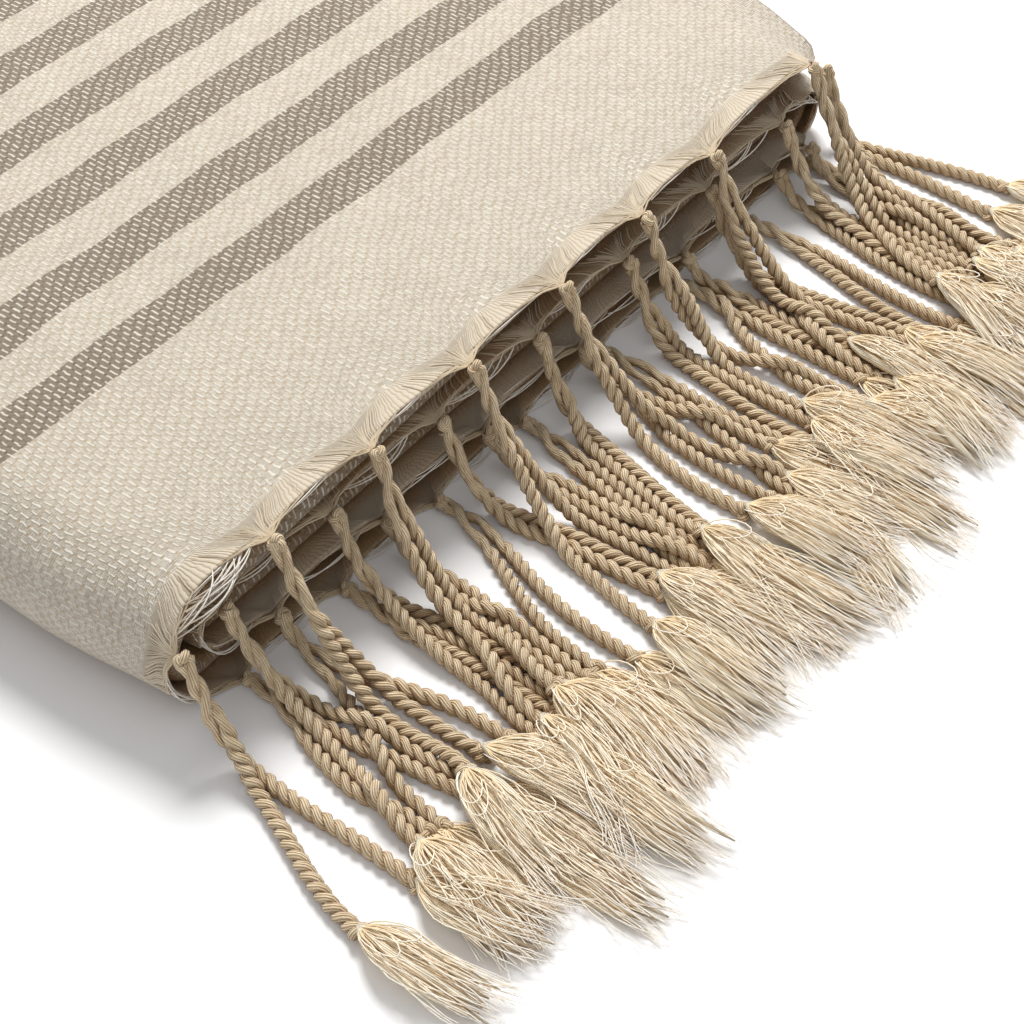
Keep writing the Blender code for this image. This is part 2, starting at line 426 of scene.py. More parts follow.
# %% The cloth's mesh
def make_cloth():
    stations = roll.stations()
    rows = layer_rows()
    across, along = len(stations) - 1, len(rows) - 1
    sheet = bmesh.new()
    bmesh.ops.create_grid(sheet, x_segments=across, y_segments=along, size=0.5, calc_uvs=True)
    plan = sheet.loops.layers.uv.verify()
    flat_places = {}
    for vert in sheet.verts:
        column = round((vert.co.x + 0.5) * across)
        kind, share = rows[round((vert.co.y + 0.5) * along)]
        vert.co, flat_places[vert.index] = cloth_place(stations[column], kind, share)
    for face in sheet.faces:
        for loop in face.loops:
            loop[plan].uv = flat_places[loop.vert.index]
    mesh = bpy.data.meshes.new("towel_cloth")
    sheet.to_mesh(mesh)
    sheet.free()
    mesh.shade_smooth()
    cloth = link("towel_cloth", mesh)
    thick = cloth.modifiers.new("thickness", "SOLIDIFY")
    thick.thickness = CLOTH_THICK
    thick.offset = 0.0
    return cloth


cloth = make_cloth()
print("cloth faces:", len(cloth.data.polygons))

# %% [markdown]
# ## Node helpers
# The weave and the yarns are drawn by shader nodes. Most of those are arithmetic, so one small class
# stands for a number that changes over the surface, and another adds the nodes. A material then
# reads like the sum that it is.

# %% Numbers that change over the surface
class Amount:
    """An output of a finish's nodes. Sums and products of it add nodes of their own."""

    def __init__(self, finish, socket):
        self.finish = finish
        self.socket = socket

    def __add__(self, other):
        return self.finish.math("ADD", self, other)

    def __sub__(self, other):
        return self.finish.math("SUBTRACT", self, other)

    def __rsub__(self, other):
        return self.finish.math("SUBTRACT", other, self)

    def __mul__(self, other):
        return self.finish.math("MULTIPLY", self, other)

    def __truediv__(self, other):
        return self.finish.math("DIVIDE", self, other)

    def whole(self):
        return self.finish.math("FLOOR", self)

    def fraction(self):
        return self.finish.math("FRACT", self)

    def off_middle(self):
        """Distance from the middle of a repeat of 1: 0 there and 0.5 at its ends."""
        return self.finish.math("ABSOLUTE", self.fraction() - 0.5)

    def ridge(self):
        """A round ridge on each repeat of 1: 1 along its middle and 0 at its ends."""
        side = self.fraction() * 2.0 - 1.0
        return 1.0 - side * side


# %% A material's nodes, one call each
class Finish:
    """A material under construction: every call adds a node and returns its output."""

    def __init__(self, name, roughness, sheen):
        self.material = bpy.data.materials.new(name)
        self.material.use_nodes = True
        self.tree = self.material.node_tree
        self.shader = self.tree.nodes["Principled BSDF"]
        self.shader.inputs["Roughness"].default_value = roughness
        self.shader.inputs["Sheen Weight"].default_value = sheen
        self.shader.inputs["Sheen Roughness"].default_value = 0.5
        self.shader.inputs["Specular IOR Level"].default_value = 0.25

    def feed(self, socket, value):
        if isinstance(value, Amount):
            value = value.socket
        if isinstance(value, bpy.types.NodeSocket):
            self.tree.links.new(value, socket)
        else:
            socket.default_value = value

    def math(self, operation, *values):
        node = self.tree.nodes.new("ShaderNodeMath")
        node.operation = operation
        for socket, value in zip(node.inputs, values):
            self.feed(socket, value)
        return Amount(self, node.outputs[0])

    def step(self, value, low, high, start=0.0, end=1.0):
        """Ease from start to end as the value goes from low to high."""
        node = self.tree.nodes.new("ShaderNodeMapRange")
        node.interpolation_type = "SMOOTHSTEP"
        for socket, number in zip(node.inputs, (value, low, high, start, end)):
            self.feed(socket, number)
        return Amount(self, node.outputs[0])

    def place(self):
        """The piece's own UV map, as two numbers."""
        found = self.tree.nodes.new("ShaderNodeUVMap")
        parts = self.tree.nodes.new("ShaderNodeSeparateXYZ")
        self.tree.links.new(found.outputs[0], parts.inputs[0])
        return Amount(self, parts.outputs[0]), Amount(self, parts.outputs[1])

    def object_place(self):
        return self.tree.nodes.new("ShaderNodeTexCoord").outputs["Object"]

    def point(self, x, y):
        node = self.tree.nodes.new("ShaderNodeCombineXYZ")
        for socket, value in zip(node.inputs, (x, y)):
            self.feed(socket, value)
        return node.outputs[0]

    def cloud(self, place, scale, detail):
        """Soft noise, about 0.5 in the middle."""
        node = self.tree.nodes.new("ShaderNodeTexNoise")
        self.tree.links.new(place, node.inputs["Vector"])
        node.inputs["Scale"].default_value = scale
        node.inputs["Detail"].default_value = detail
        return Amount(self, node.outputs[0])

    def chance(self, x, y):
        """A number of its own for each pair of whole numbers."""
        node = self.tree.nodes.new("ShaderNodeTexWhiteNoise")
        node.noise_dimensions = "2D"
        self.tree.links.new(self.point(x, y), node.inputs["Vector"])
        return Amount(self, node.outputs["Value"])

    def hollow(self, reach):
        """Ambient occlusion, used to paint shade: 1 in the open, less where other yarn or cloth stands
        nearer than the reach.
        """
        node = self.tree.nodes.new("ShaderNodeAmbientOcclusion")
        node.samples = 4
        node.inputs["Distance"].default_value = reach
        return Amount(self, node.outputs["AO"])

    def blend(self, share, one, two):
        node = self.tree.nodes.new("ShaderNodeMix")
        node.data_type = "RGBA"
        self.feed(node.inputs[0], share)
        for socket, colour in ((node.inputs[6], one), (node.inputs[7], two)):
            self.feed(socket, (*colour, 1.0) if isinstance(colour, tuple) else colour)
        return node.outputs[2]

    def finish(self, colour, height, distance):
        bump = self.tree.nodes.new("ShaderNodeBump")
        bump.inputs["Distance"].default_value = distance
        self.feed(bump.inputs["Height"], height)
        self.tree.links.new(bump.outputs[0], self.shader.inputs["Normal"])
        self.feed(self.shader.inputs["Base Color"], colour)
        return self.material


# %% [markdown]
# ## The weave and its stripes
# The weft covers most of the cloth, in fine ribs, and every other warp thread floats over it in
# short thin dashes, each column a third of a repeat behind its neighbour. The weft is cream, and
# taupe in the stripes. The dashes stay cream everywhere and step the stripes' edges. Past the last
# weft thread only warp is left, so the finish turns there to yarns side by side. Shade is painted
# into the colour between threads, beside the floats, in the dents and between the bare warp yarns.
# An ambient occlusion node finds the hollows between folds, and warm brown shade is painted there,
# as in cotton that lets light through. The cloth could be modelled thread by thread, but with that
# many threads bump and colour serve.

# %% Woven cotton
WARP_PITCH = 1.45           # millimetres between columns of floats
WEFT_PITCH = 0.52
FLOAT_REPEAT = 2.9          # one dash and the gap after it
FLOAT_LENGTH = 0.66         # share of the repeat that the dash takes
FLOAT_WIDTH = 0.31          # share of the column that the dash takes
PLAIN_END = 54.7            # cream before the first stripe
STRIPE_REPEAT = 23.5
STRIPE_WIDTH = 11.5
WARP_CREAM = (0.715, 0.665, 0.58)
WEFT_CREAM = (0.615, 0.56, 0.475)
WEFT_TAUPE = (0.268, 0.229, 0.176)
# Painted shade between threads, also used for a random darker tone of some weft cells.
THREAD_GAP_SHADE_AND_TONE = (0.16, 0.11, 0.065)    # between threads
# Painted shade where a warp thread goes under and between bare warp yarns, also a random darker tone
# of some dashes.
DIP_SHADE_AND_TONE = (0.50, 0.385, 0.25)    # where a warp thread goes under
# Painted shade, warm brown, in the hollows between folds.
PAINTED_FOLD_SHADE = (0.28, 0.155, 0.055)  # between folds
BARE_CREAM = (0.60, 0.525, 0.42)    # warp yarn past the last weft thread
YARN_PITCH = 0.42                   # between the bare warp yarns


def woven_cotton():
    made = Finish("woven_cotton", 0.92, 0.15)
    u, v = (value * 1000.0 for value in made.place())
    drift = made.cloud(made.point(u, v), 0.055, 1.0) * 2.6 - 1.3
    shake = made.cloud(made.point(u, v), 0.75, 3.0) * 0.76 - 0.38
    yarn = (u / YARN_PITCH).ridge()
    from_end = made.math("MINIMUM", v, CLOTH_LENGTH * 1000.0 - v)
    bare = made.step(from_end + shake, SKIRT * 1000.0, SKIRT * 1000.0 - 0.8)
    u = u + shake
    v = v + (drift + shake)
    warp = u / WARP_PITCH
    column, from_column = warp.whole(), warp.off_middle()
    weft = v / WEFT_PITCH
    row, weft_round = weft.whole(), weft.ridge()
    # Each dash has a start, a length and a brightness of its own.
    own = made.chance(column, 0.5)
    repeat_at = v / FLOAT_REPEAT + (own * 0.24 + column / 3.0)
    dash_own = made.chance(column, repeat_at.whole())
    past_end = repeat_at.off_middle() - (dash_own * 0.16 + (FLOAT_LENGTH / 2 - 0.08))
    lies_over = made.step(past_end, 0.05, -0.05)
    dash = lies_over * made.step(from_column, FLOAT_WIDTH / 2 + 0.06, FLOAT_WIDTH / 2 - 0.04)
    dip = (1.0 - lies_over) * made.step(from_column, 0.34, 0.12) * (dash_own * 0.75 + 0.25)
    # Between the floats an unseen warp thread dents the weft, twice as often.
    dent_at = v / (FLOAT_REPEAT / 2) + own * 5.0
    dent_own = made.chance(column + 0.5, dent_at.whole())
    dent = made.step(from_column, 0.30, 0.44) * made.step(dent_at.off_middle(), 0.22, 0.06)
    dip = made.math("MAXIMUM", dip, dent * (dent_own * 0.7 + 0.25))
    # The stripes change on whole weft threads.
    thread_at = (row + 0.5) * WEFT_PITCH
    in_repeat = ((thread_at - PLAIN_END) / STRIPE_REPEAT).fraction()
    after_start = made.math("GREATER_THAN", thread_at, PLAIN_END)
    before_end = made.math("LESS_THAN", thread_at, CLOTH_LENGTH * 1000.0 - PLAIN_END)
    striped = made.math("LESS_THAN", in_repeat, STRIPE_WIDTH / STRIPE_REPEAT)
    striped = striped * (after_start * before_end)
    # Shade is painted into the weft between its threads and beside the raised floats, and some cells
    # get a random darker tone.
    cell = made.chance((warp * 0.5).whole(), row)
    shade = made.step(weft_round, 0.0, 0.7, striped * -0.22 + 0.80, 1.0) * (cell * 0.36 + 0.76)
    shade = shade * made.step(from_column, FLOAT_WIDTH / 2, FLOAT_WIDTH / 2 + 0.16, 0.80, 1.0)
    weft_colour = made.blend(striped, WEFT_CREAM, WEFT_TAUPE)
    weft_colour = made.blend(made.math("MINIMUM", shade, 1.0), THREAD_GAP_SHADE_AND_TONE, weft_colour)
    # Painted shade in the dents where a warp thread goes under.
    weft_colour = made.blend(dip, weft_colour, made.blend(striped, DIP_SHADE_AND_TONE, THREAD_GAP_SHADE_AND_TONE))
    warp_colour = made.blend(dash_own * 0.26 + 0.74, DIP_SHADE_AND_TONE, WARP_CREAM)
    colour = made.blend(dash, weft_colour, warp_colour)
    # Painted shade between the bare warp yarns.
    bare_colour = made.blend(made.step(yarn, 0.0, 0.7, 0.15, 1.0), DIP_SHADE_AND_TONE, BARE_CREAM)
    colour = made.blend(bare, colour, bare_colour)
    # Painted shade: warm brown in the hollows between folds, found by ambient occlusion.
    colour = made.blend(made.step(made.hollow(0.012), 0.25, 1.0), PAINTED_FOLD_SHADE, colour)
    weft_height = dip * -0.25 + weft_round * 0.35
    warp_height = made.step(from_column, FLOAT_WIDTH / 2, 0.0, 0.6, 1.0) * (striped * 0.25 + 0.75)
    height = dash * warp_height + (1.0 - dash) * weft_height
    height = height * (1.0 - bare) + yarn * (bare * 0.5)
    height = made.cloud(made.point(u, v), 3.0, 2.0) * 0.25 + height
    return made.finish(colour, height, 0.00036)


cloth.data.materials.append(woven_cotton())
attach(cloth, "root")
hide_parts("cloth")

# %% [markdown]
# ## Yarn as tubes
# Everything in the fringe is yarn: thin tubes along a path. A curve with a round bevel makes a tube
# from a path, so each group of yarns is one curve object with many splines, turned into a mesh at
# the end. Bevel resolution 1 gives six sides and 0 gives four, enough for yarn. The curve's own UV
# map runs along the yarn and round it, which is what the twist in its finish needs.

# %% Tubes from paths
def link_tubes(name, paths, radius, sides=4, taper=(1.0, 1.0), sizes=None):
    """One mesh of a tube along each path; taper gives the share of the radius along each of them,
    and sizes a share for each whole path."""
    curve = bpy.data.curves.new(name, "CURVE")
    curve.dimensions = "3D"
    curve.bevel_depth = radius
    curve.bevel_resolution = 1 if sides == 6 else 0
    curve.use_fill_caps = True
    for number, path in enumerate(paths):
        size = sizes[number] if sizes else 1.0
        spline = curve.splines.new("POLY")
        spline.points.add(len(path) - 1)
        flat = np.ones((len(path), 4))
        flat[:, :3] = path
        spline.points.foreach_set("co", flat.ravel())
        spline.points.foreach_set("radius", size * np.interp(
            np.linspace(0, 1, len(path)), np.linspace(0, 1, len(taper)), taper))
        spline.use_smooth = True
    drawn = link(name + "_path", curve)
    seen = bpy.context.evaluated_depsgraph_get()
    mesh = bpy.data.meshes.new_from_object(
        drawn.evaluated_get(seen), preserve_all_data_layers=True, depsgraph=seen)
    bpy.data.objects.remove(drawn)
    made = link(name, mesh)
    mesh.name = name
    mesh.calc_loop_triangles()
    print(name, len(paths), "yarns,", len(mesh.loop_triangles), "triangles")
    return made


def bent(points, count):
    """A smooth path of count points from four guide points, as a cubic curve."""
    share = np.linspace(0.0, 1.0, count)[:, None]
    one, two, three, four = (np.array(point) for point in points)
    left = 1.0 - share
    return left**3 * one + 3 * left**2 * share * two + 3 * left * share**2 * three + share**3 * four


# %% [markdown]
# ## Warp ends at the edge
# The bare warp is single yarns, which sweep sideways into their knot, the outermost nearly along the
# edge. The cloth's skirt is their ground, and a layer of real tubes lies on it and runs on into the
# knot. They are drawn in the cloth's own measures, width and distance from the knots' line, then
# carried to the folds like the cloth. A few loose weft threads hang in low arcs from knot to knot.

# %% Places by the fringed edges
FRONT, BACK = "front", "back"
chance = random.Random(41)


def edge_place(end, width_at, inset, lift):
    """A point by a fringed edge: back from the knots' line, and deeper than the cloth's middle."""
    width_at = min(max(width_at, 0.0), roll.width)
    fold = ZFold(*roll.state(width_at))
    if end == FRONT:
        x, z = roll.at(width_at, fold.outer + lift)
        return settle(x, fold.front + inset, z)
    x, z = roll.at(width_at, fold.inner + lift)
    return settle(x, fold.back_end() - inset, z)


# %% Fans of warp yarn, and loose weft
def warp_fan(end, index, yarns):
    """The yarns of one knot, which lie on the cloth's bare warp and run on to the knot."""
    paths = []
    knot = knots[index]
    for number in range(yarns):
        side = ((number + 0.5) / yarns * 2.0 - 1.0) * chance.uniform(0.90, 1.0)
        limit = halves[index] if side < 0 else halves[index + 1]
        width_at = mix(knot, limit, abs(side))
        top = chance.uniform(-0.00066, -0.00042)
        start = SKIRT * chance.uniform(0.70, 1.05)
        path = []
        for share in (1.0, 0.8, 0.6, 0.4, 0.2, 0.0):
            drawn, inset = edge_lie(width_at, start * share)
            path.append(edge_place(end, drawn, inset, -0.0002 if share == 1.0 else top))
        path.append(edge_place(end, mix(drawn, knot, 0.62), mix(inset, 0.0006, 0.5), top))
        path.append(edge_place(end, knot + side * 0.0008, 0.0002, -0.0003))
        paths.append(path)
    return paths


def weft_arc(index, out):
    """A loose weft thread that hangs in a low arc from one knot's fan to the next."""
    start = mix(knots[index], knots[index + 1], chance.uniform(0.05, 0.4))
    stop = mix(knots[index], knots[index + 1], chance.uniform(0.7, 0.96))
    low = chance.uniform(-0.0004, 0.0012)
    guides = (
        (start, chance.uniform(0.0020, 0.0050), -0.0004),
        (mix(start, stop, 0.3), out, low),
        (mix(start, stop, 0.7), out * chance.uniform(0.6, 1.2), low * chance.uniform(0.4, 1.6)),
        (stop, chance.uniform(0.0015, 0.0040), -0.0004),
    )
    return [edge_place(FRONT, *point) for point in bent(guides, 12)]


FAN_YARN, WEFT_YARN = 0.00019, 0.00016      # radii
BUNDLE_AFTER = 7            # knot after which a bundle of pulled weft hangs loose
fans = {}
for end, yarns in ((FRONT, 36), (BACK, 14)):
    paths = [path for index in range(KNOTS) for path in warp_fan(end, index, yarns)]
    fans[end] = link_tubes("warp_ends_" + end, paths, FAN_YARN, taper=(1.0, 1.0, 1.05, 1.15))
arcs = [weft_arc(index, chance.uniform(-0.0012, 0.0034) if index > BUNDLE_AFTER else 0.0026)
        for index in range(KNOTS - 1) for _ in range(4 if index > BUNDLE_AFTER else 3)]
arcs += [weft_arc(BUNDLE_AFTER, chance.uniform(-0.0045, 0.0005)) for _ in range(12)]
loose_weft = link_tubes("loose_weft", arcs, WEFT_YARN)

# %% [markdown]
# ## The cords' routes
# Two cords leave each knot. They wind round each other for the first stretch, drop to the surface
# and end about 60 mm out. First each cord gets a route by rule: a start at its knot, an end given
# one by one where it shows and by an even drift elsewhere, and a soft fall between them.

# %% Routes by rule
CORD_POINTS = 38
CORD_CORE = 0.00155         # half the least distance between two cords' middles
SURFACE_GAP = 0.00175       # height of a cord's middle when it lies on the surface
FALL = 0.95                 # distance out in which a cord falls, as a share of the height
PAIR_RADIUS = 0.00115
PAIR_PITCH = 0.0130
PAIR_LENGTH = 0.019
BACK_RUN = 0.020            # how far the back cords run on between the layers
# Where the two cords of each top knot end: X and Y in millimetres, as in CLOTH_CORNER.
HAND_ENDS = (
    ((192, -55), (198, -63)),
    ((176, -51), (185, -57)),
    ((142, -46), (154, -58)),
    ((121, -49), (131, -62)),
    ((99, -59), (86, -56)),
    ((64, -60), (48, -58)),
    ((14, -53), (23, -53)),
    ((-4, -52), (3, -51)),
    ((-41, -57), (-27, -59)),
)


def cord_end(end, index, which, start, draw):
    """Where a cord ends on the surface: listed on top, by a drift with some chance elsewhere."""
    if end == FRONT and index < len(HAND_ENDS):
        x, y = HAND_ENDS[index][which]
        return Vector((x / 1000, y / 1000, 0.0)) + SHIFT
    aside = draw.uniform(-0.016, 0.007) + 0.004 * (which - 0.5)
    reach = draw.uniform(0.049, 0.064)
    if end == FRONT:
        return Vector((start.x + aside, start.y - reach, 0.0))
    return Vector((start.x + aside, start.y + reach + BACK_RUN, 0.0))


def distances(path):
    """How far along a path each of its points is."""
    return np.concatenate(([0.0], np.cumsum(np.linalg.norm(np.diff(path, axis=0), axis=1))))


def sample(path, along, places):
    """Points of a path at new places; along gives the places of its own points."""
    return np.stack([np.interp(places, along, path[:, axis]) for axis in range(3)], axis=1)


def pair_of_routes(end, index):
    """Evenly spaced points of a knot's two cords, before they settle."""
    draw = random.Random(1000 + index)
    turn = draw.uniform(0.0, 2.0 * math.pi)
    way = -1.0 if end == FRONT else 1.0
    run = 0.0 if end == FRONT else BACK_RUN
    start = edge_place(end, knots[index], -0.0016, 0.0)
    height = max(start.z - SURFACE_GAP, 0.0)
    pair = []
    for which, sign in ((0, -1.0), (1, 1.0)):
        stop = cord_end(end, index, which, start, draw)
        reach = abs(stop.y - start.y)
        fall = max(FALL * height, 0.004) * draw.uniform(0.92, 1.12)
        out = np.linspace(0.0, reach, 241)
        fallen = np.clip((out - run) / fall, 0.0, 1.0)
        level = (1.0 - fallen) ** 1.25 * (1.0 - 0.25 * fallen * (1.0 - fallen))
        share = out / reach
        sideways = 0.75 * share * share * (3.0 - 2.0 * share) + 0.25 * share
        sway = draw.uniform(-0.0024, 0.0024) * np.sin(math.pi * share) * np.sin(
            math.pi * (draw.uniform(0.8, 1.8) * share + draw.random()))
        path = np.stack([
            start.x + (stop.x - start.x) * sideways + sway,
            start.y + way * out,
            SURFACE_GAP + height * level], axis=1)
        along = distances(path)
        apart = PAIR_RADIUS * np.clip((PAIR_LENGTH - along) / 0.010, 0.0, 1.0)
        angle = turn + 2.0 * math.pi * along / PAIR_PITCH
        path[:, 0] += sign * apart * np.cos(angle)
        path[:, 2] += sign * apart * np.sin(angle)
        along = distances(path)
        pair.append(sample(path, along, np.linspace(0.0, along[-1], CORD_POINTS)))
    return pair


# %% [markdown]
# ## Letting the cords settle
# Routes by rule run through each other. A physics cord simulation would need dozens of rope
# objects, so a small relaxation does it instead. Round by round the points sink, keep their spacing
# and their bend, push off any other cord nearer than a cord's thickness, and stay on the surface.

# %% Relaxation of all cords of an edge
OVER = 0.0018               # how strongly the higher cord is sent over the lower one
LONGEST_PUSH = 0.0006       # in one round
SINK = 0.00007              # in one round
HOLD = 0.012                # share of the way back to its first route
STIFF = 0.30                # share of the way back to its first bend
ROW_HEIGHT = 0.006          # a cord that starts this much higher surely goes over the other


def push_apart(place, core, rank):
    """Part points of different cords that are nearer than the sum of their cores. The cord that
    starts higher goes over the other."""
    cords, points = place.shape[:2]
    flat = place.reshape(-1, 3)
    owner = np.repeat(np.arange(cords), points)
    square = (flat ** 2).sum(axis=1)
    gap = square[:, None] + square[None, :] - 2.0 * flat @ flat.T
    reach = (2.0 * core.max()) ** 2
    one, two = np.nonzero(np.triu(gap < reach, 1))
    other = owner[one] != owner[two]
    one, two = one[other], two[other]
    between = flat[two] - flat[one]
    distance = np.maximum(np.linalg.norm(between, axis=1), 1e-6)
    short = core[one] + core[two] - distance
    near = short > 0.0
    one, two, short, between = one[near], two[near], short[near], between[near]
    between[:, 2] += OVER * np.clip(rank[two] - rank[one], -1.0, 1.0)
    distance = np.maximum(np.linalg.norm(between, axis=1), 1e-6)
    push = between / distance[:, None] * (short * 0.5 * 0.6)[:, None]
    moved = np.zeros_like(flat)
    np.add.at(moved, one, -push)
    np.add.at(moved, two, push)
    limit = np.linalg.norm(moved, axis=1, keepdims=True)
    moved *= np.minimum(1.0, LONGEST_PUSH / np.maximum(limit, 1e-9))
    return place + moved.reshape(place.shape), len(one)


def settle_cords(routes, end, held, rounds):
    place = routes.copy()
    spacing = np.linalg.norm(np.diff(routes, axis=1), axis=2)
    bend = routes[:, :-2] + routes[:, 2:] - 2.0 * routes[:, 1:-1]
    share = np.linspace(0.0, 1.0, routes.shape[1])
    core = np.interp(share, (0.0, 0.12, 0.36, 1.0), (0.00100, 0.00112, CORD_CORE, CORD_CORE))
    core = np.tile(core, routes.shape[0])
    rank = np.repeat(routes[:, 0, 2] / ROW_HEIGHT, routes.shape[1])
    for _ in range(rounds):
        free = place[:, held:]
        free[:, :, 2] -= SINK
        free += (routes[:, held:] - free) * HOLD
        curl = place[:, :-2] + place[:, 2:] - 2.0 * place[:, 1:-1] - bend
        place[:, held:-1] += STIFF * curl[:, held - 1:]
        place, touching = push_apart(place, core, rank)
        place[:, :held] = routes[:, :held]
        for point in range(held, place.shape[1]):
            ahead = place[:, point] - place[:, point - 1]
            length = np.maximum(np.linalg.norm(ahead, axis=1, keepdims=True), 1e-9)
            place[:, point] = place[:, point - 1] + ahead / length * spacing[:, point - 1:point]
        place[:, :, 2] = np.maximum(place[:, :, 2], SURFACE_GAP)
    print(end, "cords settled;", touching, "near touches left")
    return place


HELD = {FRONT: 2, BACK: 11}         # points of a cord held by its knot, or between the layers too
ROUNDS = {FRONT: 160, BACK: 60}
routes = {}
for end in (FRONT, BACK):
    pairs = [pair_of_routes(end, index) for index in range(KNOTS)]
    routes[end] = np.array([route for pair in pairs for route in pair])
    routes[end] = settle_cords(routes[end], end, HELD[end], ROUNDS[end])

# %% [markdown]
# ## Twisting the cords
# A fringe cord is two strands twisted one way and then laid round each other the other way. Near
# the knot it is loose, with long turns; further out the turns are short and tight, like a string of
# beads. Each strand is a tube on a helix round the cord's settled route.

# %% Two strands round each route
LOOSE_PITCH, TIGHT_PITCH = 0.0150, 0.0056
LOOSE_OFFSET, TIGHT_OFFSET = 0.00024, 0.00079
STRAND_RADIUS = 0.00096
STEPS = {FRONT: 108, BACK: 60}


def soften(path, times):
    for _ in range(times):
        path[1:-1] = 0.25 * path[:-2] + 0.5 * path[1:-1] + 0.25 * path[2:]
    return path


def smooth_route(route, count):
    """More points on a settled route, with its small kinks rounded off."""
    soft = soften(route.copy(), 2)
    last = len(soft) - 1
    return soften(sample(soft, np.arange(last + 1), np.linspace(0, last, count)), 3)


def strands(route, count, hand, turn, tight_pitch):
    """The two strands' paths; hand is 1 for a right-hand twist and -1 for a left-hand one."""
    middle = smooth_route(route, count)
    ahead = np.gradient(middle, axis=0)
    length = np.linalg.norm(ahead, axis=1)
    along = np.cumsum(length)
    ahead /= length[:, None]
    aside = np.array([1.0, 0.0, 0.0]) - ahead[:, :1] * ahead
    aside /= np.linalg.norm(aside, axis=1)[:, None]
    upright = np.cross(ahead, aside)
    tight = np.clip((along - 0.010) / 0.015, 0.0, 1.0)
    tight = tight * tight * (3.0 - 2.0 * tight)
    pitch = LOOSE_PITCH + (tight_pitch - LOOSE_PITCH) * tight
    angle = turn + hand * np.cumsum(length * 2.0 * math.pi / pitch)
    offset = LOOSE_OFFSET + (TIGHT_OFFSET - LOOSE_OFFSET) * tight
    out = offset[:, None] * (np.cos(angle)[:, None] * aside + np.sin(angle)[:, None] * upright)
    return middle + out, middle - out


def make_cords(end):
    paths, sizes = [], []
    for index, route in enumerate(routes[end]):
        draw = random.Random(7000 + index)
        hand = -1.0 if draw.random() < 0.25 else 1.0
        pitch = TIGHT_PITCH * draw.uniform(0.90, 1.14)
        paths += strands(route, STEPS[end], hand, draw.uniform(0, 6.28), pitch)
        sizes += [draw.uniform(0.93, 1.07)] * 2
    taper = (0.93, 0.95, 1.0, 1.0, 1.0)
    return link_tubes("cords_" + end, paths, STRAND_RADIUS, sides=6, taper=taper, sizes=sizes)


cords = {end: make_cords(end) for end in (FRONT, BACK)}

# %% [markdown]
# ## Knots
# Both knots of a cord are overhand knots: a trefoil, the simplest knotted line there is, has just
# that look when its line is nearly as thick as its turns. One short formula draws it, and each
# copy is turned a little differently.

# %% Overhand knots
START_KNOT, END_KNOT = 0.00125, 0.00150     # half of a knot's width
KNOT_YARN = 0.00088                         # radius


def trefoil(place, size, direction, draw):
    """A closed knot of about twice the size across, its flat side along the direction."""
    turn = Vector(direction).normalized().to_track_quat("X", "Z").to_matrix()
    tilt = Matrix.Rotation(draw.uniform(-0.6, 0.6), 3, "X")
    tilt = tilt @ Matrix.Rotation(draw.uniform(-0.5, 0.5), 3, "Y")
    points = []
    for step in range(31):
        angle = 2.0 * math.pi * step / 30
        across = math.cos(angle) - 2.0 * math.cos(2.0 * angle)
        along = math.sin(angle) + 2.0 * math.sin(2.0 * angle)
        rise = -math.sin(3.0 * angle) * 1.3
        local = Vector((along, across, rise)) * size / 3.0
        points.append(Vector(place) + turn @ (tilt @ local))
    return points


def make_knots(end):
    paths = []
    for index in range(KNOTS):
        draw = random.Random(900 + index)
        first, second = routes[end][2 * index], routes[end][2 * index + 1]
        at = (first[0] + second[0]) / 2
        ahead = (first[3] + second[3]) / 2 - at
        paths.append(trefoil(at, START_KNOT, ahead, draw))
        for route in (first, second):
            paths.append(trefoil(route[-1], END_KNOT, route[-1] - route[-4], draw))
    for path in paths:
        lowest = min(point[2] for point in path)
        rise = max(0.0009 - lowest, 0.0)
        for point in path:
            point[2] += rise
    return link_tubes("knots_" + end, paths, KNOT_YARN, sides=6)


knot_pieces = {end: make_knots(end) for end in (FRONT, BACK)}

# %% [markdown]
# ## The loose ends
# Below its end knot every cord falls open into a brush of crinkled yarns. A yarn's place in the
# brush is a point in a disc. The brush widens quickly past the knot, and its yarns keep the wave
# that the twist pressed into them. A real brush has hundreds of yarns. A few dozen are drawn, and
# thick ridged locks inside them close the gaps. Particle hair could do this, but real tubes export
# as they are. A few yarns turn back on themselves, as loops that the comb missed.

# %% Brushes of crinkled yarn
YARN = 0.00014
BRUSH_LENGTH = (0.029, 0.038)
BRUSH_HALF_WIDTH = 0.0064
BRUSH_HALF_HEIGHT = 0.0026
OPENING = 0.0042            # distance in which a brush opens
BRUSH_MIDDLE = 0.0022       # height of a brush's middle at its knot


